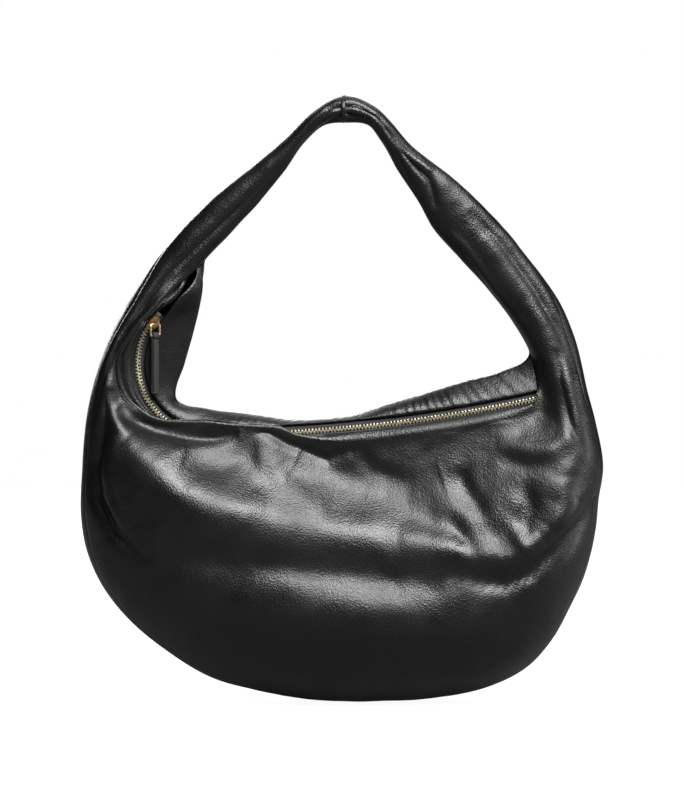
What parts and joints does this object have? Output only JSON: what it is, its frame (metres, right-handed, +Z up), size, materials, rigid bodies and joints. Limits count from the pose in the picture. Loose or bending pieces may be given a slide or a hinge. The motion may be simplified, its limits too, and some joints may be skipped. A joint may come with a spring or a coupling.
{
  "type": "hobo bag",
  "caption": "Slouchy crescent shoulder bag of soft leather that narrows up into one carrying strap, with a curved top zip and a hanging leather pull.",
  "frame": {"origin": "middle of the flat resting face under the base", "axes": "+Z up towards the strap, +X to the right as seen from the front, and the front with the zip faces -Y"},
  "size_m": [0.366, 0.118, 0.4242],
  "materials": {
    "leather": "smooth black leather with a soft gloss",
    "pull_leather": "glossy black leather with a painted edge",
    "padding": "felted strap filling",
    "lining": "plain woven cotton",
    "tape": "ribbed woven tape",
    "metal": "pale brass, polished"
  },
  "bodies": {
    "bag": {"front_panel": "leather", "back_panel": "leather", "gusset": "leather", "back_lip_facing": "leather", "front_lip_turning": "leather", "lining_front": "lining", "lining_back": "lining", "slip_pocket": "lining", "pocket_binding": "leather", "zip_tape_front": "tape", "zip_tape_back": "tape", "zip_teeth_front": "metal", "zip_teeth_back": "metal", "zip_top_stops": "metal", "zip_bottom_stop": "metal"},
    "handle": {"strap_front": "leather", "strap_back": "leather", "strap_core": "padding", "crown_band": "leather"},
    "slider": {"slider_top": "metal", "slider_base": "metal"},
    "ring": {"pull_ring": "metal"},
    "pull": {"leather_pull": "pull_leather"}
  },
  "joints": [
    {"name": "handle_fold", "type": "hinge", "parent": "bag", "child": "handle", "pos_m": [0, 0, 0.3], "axis": [1, 0, 0], "range_deg": [-95, 95]},
    {"name": "zip_travel", "type": "hinge", "parent": "bag", "child": "slider", "pos_m": [-0.093, -0.011, 0.238], "axis": [0, -1, 0], "range_deg": [0, 105]},
    {"name": "ring_swing", "type": "hinge", "parent": "slider", "child": "ring", "pos_m": [-0.13016, -0.01371, 0.26601], "axis": [0.6993, 0.7148, 0], "range_deg": [-70, 2]},
    {"name": "pull_swing", "type": "hinge", "parent": "ring", "child": "pull", "pos_m": [-0.13016, -0.01371, 0.25761], "axis": [0.6993, 0.7148, 0], "range_deg": [-45, 3]}
  ]
}
